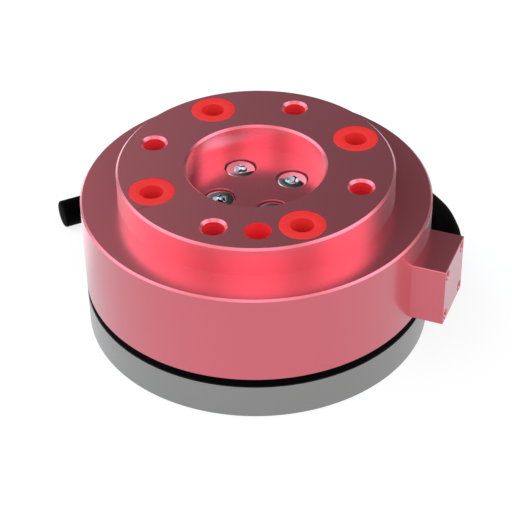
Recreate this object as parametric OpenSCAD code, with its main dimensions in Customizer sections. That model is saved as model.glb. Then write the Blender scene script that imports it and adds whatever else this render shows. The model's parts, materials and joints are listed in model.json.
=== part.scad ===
// Six-axis force torque sensor with a cable block on its side.
// +Z is up, the origin is the centre of the base plate's underside, and +X is the cable block's side.
// The tool flange carries ISO 9409-1-50-4-M6 holes, a centre recess and a dowel hole.

/* [Body] */
// Outer diameter of the housing and of the base plate
body_d = 80; // [78:0.5:90]
// Height over all, from the robot's face to the tool's face
body_h = 40; // [39:0.5:46]
// Thickness of the base plate
base_t = 8.7; // [8.2:0.1:9.2]
// Height of the soft ring between the base plate and the housing
gap_h = 2.3; // [1.6:0.1:2.8]
// Height of the shelf around the tool boss
shelf_z = 33; // [32:0.5:34]
// Wall of the housing's skirt
skirt_t = 2.5; // [2:0.1:3]
// Thickness of the housing's roof below the shelf
roof_t = 5.5; // [5:0.1:6]
// Chamfer on the shelf's outer edge
shelf_chamfer = 0.45; // [0.3:0.05:1.2]
// Chamfer on the boss and on the recess
edge_chamfer = 0.5; // [0.2:0.1:0.8]

/* [Tool side] */
// Diameter of the raised boss
boss_d = 63; // [62:0.5:64]
// Diameter of the centre recess
pilot_d = 31.5; // [31:0.1:32]
// Depth of the centre recess
pilot_depth = 6.5; // [5:0.1:7]
// Bolt circle of the tool holes, the access holes and the robot holes
bolt_circle_d = 50; // [49.5:0.1:50.5]
// Core diameter of the M6 tool holes
tool_tap_d = 5; // [4.9:0.05:5.2]
// Depth of the M6 tool holes
tool_tap_depth = 10; // [7:0.5:11]
// Diameter of the dowel holes
dowel_d = 6; // [5:0.1:6.5]
// Depth of the tool side's dowel hole
tool_dowel_depth = 8; // [5:0.5:9]
// Angle of the tool side's dowel hole, from the cable block
tool_dowel_angle = -67.5; // [-69:0.5:-66]
// Diameter of the access holes and of their plugs
access_d = 10.4; // [10:0.1:10.8]
// Diameter of a plug's blind bore at its mouth
plug_bore_d = 5.2; // [4.6:0.1:6]

/* [Robot side] */
// Diameter of the four through holes
base_hole_d = 6.6; // [6.2:0.1:7]
// Diameter of their counterbores, inside
base_counterbore_d = 11; // [10.6:0.1:11.6]
// Depth of their counterbores
base_counterbore_depth = 4.5; // [3.5:0.1:5]
// Depth of the recess on the underside
base_pilot_depth = 3; // [2:0.1:3.5]
// Depth of the robot side's dowel hole
base_dowel_depth = 5; // [4:0.5:6]
// Circle of the screws that hold the sensing element
base_screw_circle_d = 66; // [65:0.5:67]

/* [Sensing element] */
// Diameter of the hub
hub_d = 27; // [26:0.5:28]
// Bore through the hub
hub_bore_d = 8; // [5:0.5:9]
// Outer diameter of the rim
rim_d = 73; // [72:0.5:74]
// Wall of the rim
rim_t = 7.5; // [7:0.1:8]
// Height of the rim above the base plate
rim_h = 8.8; // [8:0.1:9.5]
// Clearance below the hub and the beams
float_gap = 1; // [0.6:0.1:1.5]
// Width of a beam
beam_w = 8; // [7:0.5:9]
// Thin wall between a beam's end and its slot
web_t = 1.4; // [1:0.1:1.8]
// Width of a compliant slot
slot_w = 1.2; // [0.8:0.1:1.6]
// Angle that a compliant slot spans
slot_span = 28; // [22:1:30]
// Diameter of the clearance for a screw's head on its way to the base plate
head_path_d = 12; // [11:0.5:12]
// Length of a strain gauge
gauge_l = 5; // [4:0.5:6]
// Width of a strain gauge
gauge_w = 3.4; // [3:0.1:4]
// Thickness of a strain gauge and its backing
gauge_t = 0.2; // [0.1:0.05:0.3]

/* [Board] */
// Outer diameter of the circuit board
board_d = 69; // [68:0.5:70]
// Hole in the middle of the circuit board
board_hole_d = 31; // [30:0.5:32]
// Thickness of the circuit board
board_t = 1.6; // [1:0.2:1.6]
// Height of the board's underside
board_z = 22.2; // [22:0.1:22.6]
// Circle of the board's standoffs
standoff_circle_d = 60; // [59:0.5:61]
// Width across the flats of a standoff
standoff_flats = 4.5; // [4:0.1:5]

/* [Cable block] */
// Distance of the block's outer face from the axis
block_x = 47.2; // [46.5:0.1:48.5]
// Width of the block
block_w = 14.5; // [14:0.1:15.5]
// Height of the block's underside
block_z = 12.5; // [12:0.1:13]
// Height of the block itself
block_h = 14.6; // [14:0.1:15]
// Chamfer on the block's edges
block_chamfer = 0.4; // [0.2:0.1:0.6]
// Spacing of the four tapped holes on its outer face
block_hole_pitch = 11; // [10.6:0.1:11.2]
// Core diameter of those M2.5 holes
block_tap_d = 2.05; // [2:0.05:2.2]
// Depth of those holes
block_tap_depth = 3.6; // [3:0.1:3.8]
// Diameter of the spigot that seats in the housing
spigot_d = 7.2; // [6.8:0.1:7.2]
// Bore for the wires
wire_bore_d = 5.2; // [4.8:0.1:5.4]

/* [Cable] */
// Outer diameter of the cable's jacket
cable_d = 6.8; // [6.2:0.1:7]
// Diameter of the cable where it seats in the block
cable_neck_d = 6; // [5.4:0.1:6]
// Height of the cable where it leaves the block
cable_z = 19.4; // [19:0.1:19.8]
// Distance of the cable from the body's axis there
cable_x = 43.1; // [43:0.05:43.2]
// Length of the strain relief outside the block
relief_l = 1; // [0.9:0.1:1.2]
// Number of signal wires, in two rows
wire_count = 6; // [4:2:6]

/* [Hidden] */
$fn = 96;
eps = 0.01;

body_r = body_d / 2;
bolt_r = bolt_circle_d / 2;
quarter = [0, 90, 180, 270];
diagonal = [45, 135, 225, 315];
skirt_z = base_t + gap_h;
inner_r = body_r - skirt_t;
roof_z = shelf_z - roof_t;
pad_drop = 2;
hub_top_z = roof_z - pad_drop;
recess_z = body_h - pilot_depth;
rim_r = rim_d / 2;
rim_inner_r = rim_r - rim_t;
rim_top_z = base_t + rim_h;
float_z = base_t + float_gap;
slot_r = rim_inner_r + web_t;
countersink = 0.6;

// Socket head screws: [thread, core, head diameter, head height, socket flats]
M4 = [4, 3.3, 7, 4, 3];
M25 = [2.5, 2.05, 4.5, 2, 2];
head_clearance = 0.5;
hub_screw_r = 9;
hub_screw_sink = 4.4;
hub_screw_bite = 8.4;
hub_seat_z = recess_z - hub_screw_sink;
base_screw_sink = 4.2;
base_screw_bite = 7.5;
base_screw_count = 8;
pin_d = 3;
pin_z = 20;
pin_l = 10;

block_mid_z = block_z + block_h / 2;
block_screw_y = 5.2;
block_screw_z = 24;
block_screw_seat = inner_r + 0.1;
block_screw_grip = 1.8;
block_screw_bite = 2.6;
cable_r = cable_d / 2;
cable_in_y = 2.2;
cable_bore_d = cable_neck_d + 0.1;
cable_start_y = block_w / 2 + relief_l;
wire_d = 0.9;
wire_z = cable_z + 0.5;
wire_pitch = 1.1;
header_x = 29;
header_l = 5;

// The cable's route: out of the block, round the back of the housing, down to the table and to its cut end
cable_route = [
    [cable_x, cable_start_y, cable_z], [42.15, 12.45, 19.2], [40.85, 16.3, 18.7], [38.9, 20.45, 18],
    [36.7, 24.45, 17.1], [34.15, 28.3, 16], [30.8, 32.25, 14.8], [24.95, 37.8, 12.7], [18.25, 42.25, 10.4],
    [10.8, 45.6, 8.3], [2.9, 47.4, 6.5], [-5.15, 47.8, 5.1], [-13.2, 46.7, 4.1], [-20.95, 44.15, 3.45],
    [-28.15, 40.45, 3.45], [-34.65, 35.55, 3.45], [-40.65, 29.45, 3.45], [-46.35, 23.45, 3.45],
    [-52.05, 17.45, 3.45], [-57.75, 11.45, 3.45]
];
cable_steps = 2;
cable_sides = 12;

// Point on a smooth curve through b and c, with neighbours a and d, at t from 0 to 1
function smooth(a, b, c, d, t) =
    0.5 * (2 * b + (c - a) * t + (2 * a - 5 * b + 4 * c - d) * t * t + (3 * b - a - 3 * c + d) * t * t * t);

// All ring centres along a route, with a number of steps between its points
function along(p, steps) = let (n = len(p) - 1) concat(
    [for (i = [0 : n - 1], s = [0 : steps - 1])
        smooth(p[max(i - 1, 0)], p[i], p[i + 1], p[min(i + 2, n)], s / steps)],
    [p[n]]
);

function unit(v) = v / norm(v);

// Points of the rings around a line of centres, square to its direction, or the first few to its start
function rings(c, radii, sides, straight) = [
    for (i = [0 : len(c) - 1])
        let (
            dir = unit(i < straight ? c[1] - c[0] : c[min(i + 1, len(c) - 1)] - c[max(i - 1, 0)]),
            side = unit(cross(dir, [0, 0, 1])),
            lift = cross(side, dir)
        )
        for (k = [0 : sides - 1])
            c[i] + radii[i] * (cos(k * 360 / sides) * side + sin(k * 360 / sides) * lift)
];

// A solid tube along a line of centres, with a radius for each of them
module tube_along(centres, radii, sides, straight = 0) {
    last = (len(centres) - 1) * sides;
    skin = [
        for (i = [0 : len(centres) - 2], k = [0 : sides - 1])
            let (a = i * sides + k, b = i * sides + (k + 1) % sides)
            [b, a, a + sides, b + sides]
    ];
    start_cap = [for (k = [0 : sides - 1]) k];
    end_cap = [for (k = [sides - 1 : -1 : 0]) last + k];
    polyhedron(
        points = rings(centres, radii, sides, straight),
        faces = concat([start_cap], skin, [end_cap]), convexity = 6
    );
}

// A hole from the height z downwards
module drill(d, depth, z) {
    translate([0, 0, z - depth])
        cylinder(d = d, h = depth + eps);
}

// A tapped hole with a countersunk mouth, from the height z downwards
module tapped_hole(core_d, depth, z, sink) {
    drill(core_d, depth, z);
    translate([0, 0, z - sink])
        cylinder(d1 = core_d, d2 = core_d + 2 * (sink + eps), h = sink + eps);
}

module at_angles(angles, r) {
    for (a = angles)
        rotate([0, 0, a])
            translate([r, 0, 0])
                children();
}

// A socket head screw whose head seats at z = 0 and whose shank points down
module socket_screw(kind, grip, bite) {
    shank_r = kind[0] / 2;
    core_r = kind[1] / 2;
    head_r = kind[2] / 2;
    head_h = kind[3];
    edge = head_h / 10;
    tip = -grip - bite;
    difference() {
        rotate_extrude()
            polygon([
                [0, tip], [core_r - edge, tip], [core_r, tip + edge], [core_r, -grip], [shank_r, -grip],
                [shank_r, 0], [head_r, 0], [head_r, head_h - edge], [head_r - edge, head_h], [0, head_h]
            ]);
        translate([0, 0, head_h / 2])
            cylinder(d = kind[4] / cos(30), h = head_h, $fn = 6);
        translate([0, 0, head_h / 4])
            cylinder(d1 = 0.2, d2 = kind[4] * 0.9, h = head_h / 4 + eps);
    }
}

module base_plate() {
    edge = 0.3;
    color([0.56, 0.56, 0.57])
        difference() {
            rotate_extrude()
                polygon([
                    [0, base_pilot_depth], [pilot_d / 2, base_pilot_depth], [pilot_d / 2, edge],
                    [pilot_d / 2 + edge, 0], [body_r - edge, 0], [body_r, edge], [body_r, base_t], [0, base_t]
                ]);
            at_angles(diagonal, bolt_r) {
                translate([0, 0, -eps])
                    cylinder(d = base_hole_d, h = base_t);
                drill(base_counterbore_d, base_counterbore_depth, base_t);
            }
            at_angles(base_screw_angles(), base_screw_circle_d / 2) {
                translate([0, 0, -eps])
                    cylinder(d = M4[2] + head_clearance, h = base_screw_sink + eps);
                cylinder(d = M4[0] + head_clearance, h = base_t + eps);
            }
            at_angles([-90], bolt_r)
                translate([0, 0, -eps])
                    cylinder(d = dowel_d, h = base_dowel_depth + eps);
        }
}

function base_screw_angles() = [for (i = [0 : base_screw_count - 1]) (i + 0.5) * 360 / base_screw_count];

module base_screws() {
    color([0.42, 0.43, 0.45])
        at_angles(base_screw_angles(), base_screw_circle_d / 2)
            translate([0, 0, base_screw_sink])
                mirror([0, 0, 1])
                    socket_screw(M4, base_t - base_screw_sink, base_screw_bite);
}

// Hub, four beams and a rim. Each beam ends on a thin web with a slot behind it, so that it can flex.
module sensing_element() {
    beam_h = rim_top_z - float_z;
    color([0.78, 0.79, 0.8])
        difference() {
            union() {
                difference() {
                    translate([0, 0, base_t])
                        cylinder(r = rim_r, h = rim_h);
                    translate([0, 0, base_t - eps])
                        cylinder(r = rim_inner_r, h = rim_h + 2 * eps);
                    at_angles(diagonal, bolt_r)
                        translate([0, 0, base_t - eps])
                            cylinder(d = head_path_d, h = rim_h + 2 * eps);
                }
                for (a = quarter)
                    rotate([0, 0, a])
                        translate([0, -beam_w / 2, float_z])
                            cube([rim_inner_r + eps, beam_w, beam_h]);
                translate([0, 0, float_z])
                    cylinder(d = hub_d, h = hub_top_z - float_z);
            }
            translate([0, 0, float_z - eps])
                cylinder(d = hub_bore_d, h = hub_top_z);
            for (a = quarter)
                rotate([0, 0, a])
                    compliant_slot();
            at_angles(base_screw_angles(), base_screw_circle_d / 2)
                translate([0, 0, base_t - eps])
                    cylinder(d = M4[1], h = base_screw_bite + 0.5);
            at_angles(diagonal, hub_screw_r)
                drill(M4[1], hub_screw_bite + 1, hub_top_z);
            at_angles([0, 180], hub_screw_r)
                drill(pin_d, hub_top_z - pin_z, hub_top_z);
        }
}

module compliant_slot() {
    mid_r = slot_r + slot_w / 2;
    translate([0, 0, base_t - eps]) {
        rotate([0, 0, -slot_span / 2])
            rotate_extrude(angle = slot_span)
                translate([slot_r, 0])
                    square([slot_w, rim_h + 2 * eps]);
        for (side = [-1, 1])
            rotate([0, 0, side * slot_span / 2])
                translate([mid_r, 0, 0])
                    cylinder(d = slot_w, h = rim_h + 2 * eps);
    }
}

// Foil gauges on the top and on both sides of one beam
module gauge_set(a) {
    inner = hub_d / 2 + gauge_l / 2 + 0.8;
    outer = rim_inner_r - gauge_l / 2 - 0.8;
    color([0.78, 0.5, 0.2])
        rotate([0, 0, a]) {
            for (x = [inner, outer])
                translate([x - gauge_l / 2, -gauge_w / 2, rim_top_z])
                    cube([gauge_l, gauge_w, gauge_t]);
            for (y = [-beam_w / 2 - gauge_t, beam_w / 2])
                translate([inner - gauge_l / 2, y, float_z + (rim_top_z - float_z - gauge_w) / 2])
                    cube([gauge_l, gauge_t, gauge_w]);
        }
}

module circuit_board() {
    color([0.08, 0.33, 0.2])
        translate([0, 0, board_z])
            difference() {
                cylinder(d = board_d, h = board_t);
                translate([0, 0, -eps])
                    cylinder(d = board_hole_d, h = board_t + 2 * eps);
                at_angles(diagonal, bolt_r)
                    translate([0, 0, -eps])
                        cylinder(d = head_path_d, h = board_t + 2 * eps);
                at_angles(standoff_angles(), standoff_circle_d / 2)
                    translate([0, 0, -eps])
                        cylinder(d = M25[0] + 0.4, h = board_t + 2 * eps);
            }
}

function standoff_angles() = [for (a = quarter) a + 22.5];

// Packages on the board's underside: one amplifier by each beam, a controller and a converter
module board_chips() {
    color([0.09, 0.09, 0.1]) {
        at_angles([for (a = quarter) a - 18], 28.5)
            translate([-2, -2.5, board_z - 1.5])
                cube([4, 5, 1.5]);
        at_angles([180], 24)
            translate([-3.5, -3.5, board_z - 1])
                cube([7, 7, 1]);
        at_angles([90], 22)
            translate([-2.5, -2.5, board_z - 1])
                cube([5, 5, 1]);
    }
}

module board_header() {
    wall = 0.5;
    width = 8;
    height = 4.4;
    color([0.9, 0.88, 0.8])
        translate([header_x, -width / 2, board_z - height])
            difference() {
                cube([header_l, width, height]);
                translate([header_l - 1.2, wall, wall])
                    cube([header_l, width - 2 * wall, height - 2 * wall]);
            }
}

module board_standoffs() {
    color([0.8, 0.68, 0.35])
        at_angles(standoff_angles(), standoff_circle_d / 2)
            translate([0, 0, board_z + board_t])
                difference() {
                    union() {
                        cylinder(d = standoff_flats / cos(30), h = roof_z - board_z - board_t, $fn = 6);
                        cylinder(d = M25[1], h = roof_z - board_z - board_t + 3);
                    }
                    translate([0, 0, -eps])
                        cylinder(d = M25[1], h = 3);
                }
}

module board_screws() {
    color([0.75, 0.75, 0.77])
        at_angles(standoff_angles(), standoff_circle_d / 2)
            translate([0, 0, board_z])
                mirror([0, 0, 1])
                    socket_screw(M25, board_t, 2.6);
}

module gap_seal() {
    color([0.06, 0.06, 0.065])
        translate([0, 0, base_t])
            difference() {
                cylinder(r = body_r - 0.15, h = gap_h);
                translate([0, 0, -eps])
                    cylinder(r = inner_r, h = gap_h + 2 * eps);
            }
}

module tool_housing() {
    boss_r = boss_d / 2;
    recess_r = pilot_d / 2;
    pad_r = hub_d / 2 + 0.5;
    color([0.78, 0.2, 0.26])
        difference() {
            rotate_extrude()
                polygon([
                    [0, hub_top_z], [pad_r, hub_top_z], [pad_r, roof_z], [inner_r - 1, roof_z],
                    [inner_r, roof_z - 1], [inner_r, skirt_z], [body_r, skirt_z],
                    [body_r, shelf_z - shelf_chamfer], [body_r - shelf_chamfer, shelf_z], [boss_r, shelf_z],
                    [boss_r, body_h - edge_chamfer], [boss_r - edge_chamfer, body_h],
                    [recess_r + edge_chamfer, body_h], [recess_r, body_h - edge_chamfer],
                    [recess_r, recess_z], [0, recess_z]
                ]);
            at_angles(quarter, bolt_r)
                tapped_hole(tool_tap_d, tool_tap_depth, body_h, countersink);
            at_angles([tool_dowel_angle], bolt_r)
                drill(dowel_d, tool_dowel_depth, body_h);
            at_angles(diagonal, bolt_r)
                drill(access_d, body_h, body_h);
            at_angles(diagonal, hub_screw_r) {
                drill(M4[2] + head_clearance, hub_screw_sink, recess_z);
                drill(M4[0] + head_clearance, recess_z, recess_z);
            }
            at_angles([0, 180], hub_screw_r)
                translate([0, 0, hub_top_z - eps])
                    cylinder(d = pin_d, h = pin_z + pin_l - hub_top_z + eps);
            at_angles(standoff_angles(), standoff_circle_d / 2)
                translate([0, 0, roof_z - eps])
                    cylinder(d = M25[1], h = 3.5);
            block_fixing_cuts();
        }
}

// The hole for the block's spigot, and the holes and spot faces for its screws
module block_fixing_cuts() {
    translate([inner_r - 2, 0, cable_z])
        rotate([0, 90, 0])
            cylinder(d = spigot_d, h = skirt_t + 3);
    for (y = [-block_screw_y, block_screw_y])
        translate([inner_r - 2, y, block_screw_z])
            rotate([0, 90, 0]) {
                cylinder(d = M25[0] + 0.4, h = skirt_t + 3);
                cylinder(d = M25[2] + 0.3, h = block_screw_seat - inner_r + 2);
            }
}

module hub_screw(a) {
    color([0.34, 0.37, 0.4])
        at_angles([a], hub_screw_r)
            translate([0, 0, hub_seat_z])
                rotate([0, 0, 20])
                    socket_screw(M4, hub_seat_z - hub_top_z, hub_screw_bite);
}

module hub_dowel_pins() {
    color([0.7, 0.7, 0.72])
        at_angles([0, 180], hub_screw_r)
            translate([0, 0, pin_z])
                cylinder(d = pin_d, h = pin_l);
}

// A moulded plug, flush with the tool face, with a blind bore that has draft
module access_plug(a) {
    plug_l = 10;
    bore_l = 7;
    lip = 0.2;
    color([0.93, 0.16, 0.16])
        at_angles([a], bolt_r)
            difference() {
                union() {
                    translate([0, 0, body_h - plug_l])
                        cylinder(d1 = access_d - 1, d2 = access_d, h = 1);
                    translate([0, 0, body_h - plug_l + 1])
                        cylinder(d = access_d, h = plug_l - 1 - lip);
                    translate([0, 0, body_h - lip])
                        cylinder(d1 = access_d, d2 = access_d - 2 * lip, h = lip);
                }
                translate([0, 0, body_h - bore_l])
                    cylinder(d1 = plug_bore_d - 0.3, d2 = plug_bore_d, h = bore_l + eps);
            }
}

module cable_block() {
    color([0.78, 0.2, 0.26])
        difference() {
            union() {
                block_blank();
                translate([inner_r, 0, cable_z])
                    rotate([0, 90, 0])
                        cylinder(d = spigot_d, h = skirt_t + 3);
            }
            for (y = [-1, 1], z = [-1, 1])
                translate([block_x, y * block_hole_pitch / 2, block_mid_z + z * block_hole_pitch / 2])
                    rotate([0, 90, 0])
                        tapped_hole(block_tap_d, block_tap_depth, 0, 0.35);
            translate([cable_x, -3.5, cable_z])
                rotate([-90, 0, 0])
                    cylinder(d = cable_bore_d, h = block_w);
            translate([inner_r - 1, 0, cable_z])
                rotate([0, 90, 0])
                    cylinder(d = wire_bore_d, h = cable_x - inner_r + 1);
            for (y = [-block_screw_y, block_screw_y])
                translate([inner_r, y, block_screw_z])
                    rotate([0, 90, 0])
                        cylinder(d = M25[1], h = skirt_t + block_screw_bite + 0.3);
        }
}

// The block's outer form: chamfered in plan and in side view, with a saddle that sits on the housing
module block_blank() {
    c = block_chamfer;
    w = block_w / 2;
    difference() {
        intersection() {
            translate([0, 0, block_z])
                linear_extrude(block_h)
                    polygon([
                        [inner_r, -w], [block_x - c, -w], [block_x, c - w],
                        [block_x, w - c], [block_x - c, w], [inner_r, w]
                    ]);
            translate([0, w, 0])
                rotate([90, 0, 0])
                    linear_extrude(block_w)
                        polygon([
                            [inner_r, block_z], [block_x - c, block_z], [block_x, block_z + c],
                            [block_x, block_z + block_h - c], [block_x - c, block_z + block_h],
                            [inner_r, block_z + block_h]
                        ]);
        }
        cylinder(r = body_r, h = body_h);
    }
}

module block_screws() {
    color([0.42, 0.43, 0.45])
        for (y = [-block_screw_y, block_screw_y])
            translate([block_screw_seat, y, block_screw_z])
                rotate([0, -90, 0])
                    socket_screw(M25, block_screw_grip, block_screw_bite);
}

module strain_relief() {
    flange_t = 0.5;
    color([0.05, 0.05, 0.055])
        translate([cable_x, block_w / 2, cable_z])
            rotate([-90, 0, 0])
                difference() {
                    union() {
                        cylinder(d = cable_neck_d + 1.4, h = flange_t);
                        cylinder(d1 = cable_neck_d + 1.2, d2 = cable_d + 0.1, h = relief_l);
                    }
                    translate([0, 0, -eps])
                        cylinder(d = cable_bore_d, h = relief_l + 2 * eps);
                }
}

// Wires that turn from the cable's end through the block's bore to the board's header
module signal_wires() {
    bends = [1.4, 2.8];
    levels = wire_count / 2;
    turn_x = cable_x - (bends[0] + bends[1]) / 2;
    color([0.75, 0.72, 0.3])
        for (bend = bends, i = [0 : levels - 1])
            let (route = wire_route(turn_x, bend, wire_z + (i - (levels - 1) / 2) * wire_pitch))
                tube_along(route, [for (p = route) wire_d / 2], 8);
}

// A quarter turn from the cable's end, and a straight run towards the board
function wire_route(turn_x, bend, z) = concat(
    [for (a = [0 : -15 : -90]) [turn_x + bend * cos(a), cable_in_y - 0.2 + bend * sin(a), z]],
    [[header_x + header_l - 1, cable_in_y - 0.2 - bend, z]]
);

module signal_cable() {
    inner_end = [cable_x, cable_in_y, cable_z];
    free = along(cable_route, cable_steps);
    color([0.04, 0.04, 0.045])
        tube_along(
            concat([inner_end, cable_route[0]], free),
            concat([cable_neck_d / 2, cable_neck_d / 2], [for (p = free) cable_r]),
            cable_sides, straight = 3
        );
}

base_plate();
base_screws();
sensing_element();
gauge_set(0);  // gauge_set_1
gauge_set(90);  // gauge_set_2
gauge_set(180);  // gauge_set_3
gauge_set(270);  // gauge_set_4
circuit_board();
board_chips();
board_header();
board_standoffs();
board_screws();
gap_seal();
tool_housing();
hub_screw(45);  // hub_screw_1
hub_screw(135);  // hub_screw_2
hub_screw(225);  // hub_screw_3
hub_screw(315);  // hub_screw_4
hub_dowel_pins();
access_plug(45);  // access_plug_1
access_plug(135);  // access_plug_2
access_plug(225);  // access_plug_3
access_plug(315);  // access_plug_4
cable_block();
block_screws();
strain_relief();
signal_wires();
signal_cable();
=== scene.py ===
"""Looks of a force torque sensor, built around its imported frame.

A red anodised housing sits on a grey base plate with a black seal between them. The tool side has
a stepped boss, a centre recess with four socket head screws, tapped holes, a dowel hole and four
red plugs. A block on the side lets a black cable out, which runs round the back to its cut end.
"""

from __future__ import annotations

import json
import logging
import math
from collections.abc import Callable, Iterable, Mapping, Sequence
from dataclasses import dataclass, field
from enum import Enum

import bmesh
import bpy
from mathutils import Matrix, Vector

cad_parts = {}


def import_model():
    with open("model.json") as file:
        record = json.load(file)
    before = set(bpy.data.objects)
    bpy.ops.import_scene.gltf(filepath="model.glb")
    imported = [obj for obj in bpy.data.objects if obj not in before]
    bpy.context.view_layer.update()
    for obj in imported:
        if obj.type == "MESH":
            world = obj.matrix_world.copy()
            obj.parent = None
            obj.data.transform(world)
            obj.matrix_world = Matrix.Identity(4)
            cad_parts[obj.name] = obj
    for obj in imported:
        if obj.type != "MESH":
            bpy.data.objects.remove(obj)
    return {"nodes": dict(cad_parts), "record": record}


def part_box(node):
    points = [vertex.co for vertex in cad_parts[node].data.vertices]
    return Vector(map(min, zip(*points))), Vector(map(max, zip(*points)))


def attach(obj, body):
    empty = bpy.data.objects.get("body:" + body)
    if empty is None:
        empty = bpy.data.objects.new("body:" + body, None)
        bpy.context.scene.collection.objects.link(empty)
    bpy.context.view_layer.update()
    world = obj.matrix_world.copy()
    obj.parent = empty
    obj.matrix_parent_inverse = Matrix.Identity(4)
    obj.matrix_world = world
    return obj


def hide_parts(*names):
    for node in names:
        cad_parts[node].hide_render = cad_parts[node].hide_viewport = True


Object = bpy.types.Object
Tree = bpy.types.NodeTree
Socket = bpy.types.NodeSocket
Face = bmesh.types.BMFace
Edge = bmesh.types.BMEdge
Colour = tuple[float, float, float, float]
Settings = Mapping[str | int, object]
Links = Mapping[str | int, Socket]

LOG = logging.getLogger("force_torque_sensor")
MM = 0.001
BODY = "root"
# How far a cutter runs past the surface that it opens.
OVER = 1 * MM
# How close two heights, and two places or radii in plan, have to be to count as the same.
SAME_HEIGHT = 0.02 * MM
SAME_PLACE = 0.1 * MM
# How upright a face's normal has to be for the face to count as flat.
UPRIGHT = 0.9
# The detail and roughness of a surface's grain, and the values between which its noise stays.
GRAIN = {"Detail": 3.0, "Roughness": 0.6}
GRAIN_SPAN = {"From Min": 0.3, "From Max": 0.7}
# Radius under which a bore shows so small that it needs fewer sides.
SMALL_BORE = 1.5 * MM
# How far outside its radius a bore's wall may lie.
BORE_FIT = 0.05 * MM
# Angles of the tapped holes, and of the plugs and screws between them, in degrees from +X.
QUARTERS = (0.0, 90.0, 180.0, 270.0)
DIAGONALS = (45.0, 135.0, 225.0, 315.0)


class Facets(Enum):
    """How many straight sides stand for a circle, by how large it shows."""

    BODY = 256
    BORE = 96
    SCREW = 64
    SMALL = 40
    HEX = 6


class Slot(Enum):
    """The record's material slots."""

    RED_ANODISED = "anodised_red"
    GREY_ANODISED = "anodised_grey"
    MACHINED = "machined_aluminium"
    RUBBER = "black_rubber"
    PLUG = "red_polymer"
    SCREW = "screw_steel"
    BRASS = "standoff_brass"
    LAMINATE = "board_laminate"
    CHIP = "chip_epoxy"
    HEADER = "header_plastic"
    GAUGE = "gauge_foil"
    WIRE = "wire_insulation"
    JACKET = "cable_jacket"


# ---------------------------------------------------------------------------
# Finishes
# ---------------------------------------------------------------------------


def linear_colour(code: str, lighter: float = 0.0) -> Colour:
    """Turn an sRGB hex colour into the linear colour that shaders take.

    Args:
        code: Six hex digits.
        lighter: How much more light it gives back than the code says, as a share.

    Returns:
        Red, green, blue and an alpha of one.
    """
    channels = [int(code[i : i + 2], 16) / 255 for i in (0, 2, 4)]
    linear = [c / 12.92 if c <= 0.04045 else ((c + 0.055) / 1.055) ** 2.4 for c in channels]
    red, green, blue = (c * (1 + lighter) for c in linear)
    return red, green, blue, 1.0


def add_node(
    tree: Tree, kind: str, settings: Settings | None = None, links: Links | None = None
) -> bpy.types.Node:
    """Add a node with its settings and its incoming links.

    Args:
        tree: The node tree that gets it.
        kind: The node's type, such as "ShaderNodeBump".
        settings: Input values by socket name or number, and the node's own properties by name.
        links: The output socket that feeds each input, by the input's name or number.

    Returns:
        The new node.
    """
    node = tree.nodes.new(kind)
    for key, value in (settings or {}).items():
        if isinstance(key, int) or key in node.inputs:
            node.inputs[key].default_value = value
        else:
            setattr(node, key, value)
    for key, source in (links or {}).items():
        tree.links.new(source, node.inputs[key])
    return node


def new_material(name: str) -> tuple[bpy.types.Material, Tree]:
    """Make a material with an empty node tree.

    Args:
        name: The material's name.

    Returns:
        The material and its tree.
    """
    material = bpy.data.materials.new(name)
    material.use_nodes = True
    material.node_tree.nodes.clear()
    return material, material.node_tree


def wave_scale(period_mm: float) -> float:
    """Return a wave texture's Scale for a period in millimetres: at one, it is pi / 10."""
    return math.pi / 10 / (period_mm * MM)


@dataclass(frozen=True)
class Finish:
    """What every finish states: its name, colour and gloss, and how fine its grain is.

    Attributes:
        name: The material's common name and how its surface was made.
        colour: sRGB hex colour.
        roughness: Roughness of the surface between its grains.
        metallic: One for bare metal, less under a dyed oxide, zero for polymers.
        grain_mm: Size of the surface's grain.
        relief_mm: Height of the grain.
        mottle: How far the roughness drifts over the grain, up and down.
    """

    name: str
    colour: str
    roughness: float
    metallic: float = 0.0
    grain_mm: float = 0.4
    relief_mm: float = 0.001
    mottle: float = 0.02

    def build(self) -> bpy.types.Material:
        """Make the material, with the grain in its roughness and its bump.

        Returns:
            The new material.
        """
        material, tree = new_material(self.name)
        place = add_node(tree, "ShaderNodeTexCoord").outputs["Object"]
        grain = add_node(
            tree,
            "ShaderNodeTexNoise",
            {"Scale": 1 / (self.grain_mm * MM), **GRAIN},
            {"Vector": place},
        ).outputs["Fac"]
        rough = add_node(
            tree,
            "ShaderNodeMapRange",
            {
                **GRAIN_SPAN,
                "To Min": self.roughness - self.mottle,
                "To Max": self.roughness + self.mottle,
            },
            {"Value": grain},
        ).outputs["Result"]
        bump = add_node(
            tree,
            "ShaderNodeBump",
            {"Strength": 1.0, "Distance": self.relief_mm * MM},
            {"Height": grain},
        ).outputs["Normal"]
        shader = add_node(
            tree,
            "ShaderNodeBsdfPrincipled",
            {"Base Color": linear_colour(self.colour), "Metallic": self.metallic, **self.gloss()},
            {"Roughness": rough, "Normal": bump, **self.dye(tree, place)},
        )
        add_node(tree, "ShaderNodeOutputMaterial", links={"Surface": shader.outputs["BSDF"]})
        return material

    def gloss(self) -> Settings:
        """Return the shader's further settings."""
        return {}

    def dye(self, tree: Tree, place: Socket) -> Links:
        """Return the link that gives the colour a pattern, or none where it is even."""
        return {}

    def shades(self, tree: Tree, pattern: Socket, first: float, second: float) -> Links:
        """Blend two shades of the colour along a pattern.

        Args:
            tree: The material's node tree.
            pattern: The pattern, from zero to one.
            first: How much lighter than the colour it is at zero, as a share.
            second: The same at one.

        Returns:
            The link that gives the shader this colour.
        """
        blend = add_node(
            tree,
            "ShaderNodeMix",
            {
                "data_type": "RGBA",
                6: linear_colour(self.colour, first),
                7: linear_colour(self.colour, second),
            },
            {0: pattern},
        )
        return {"Base Color": blend.outputs[2]}


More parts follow.
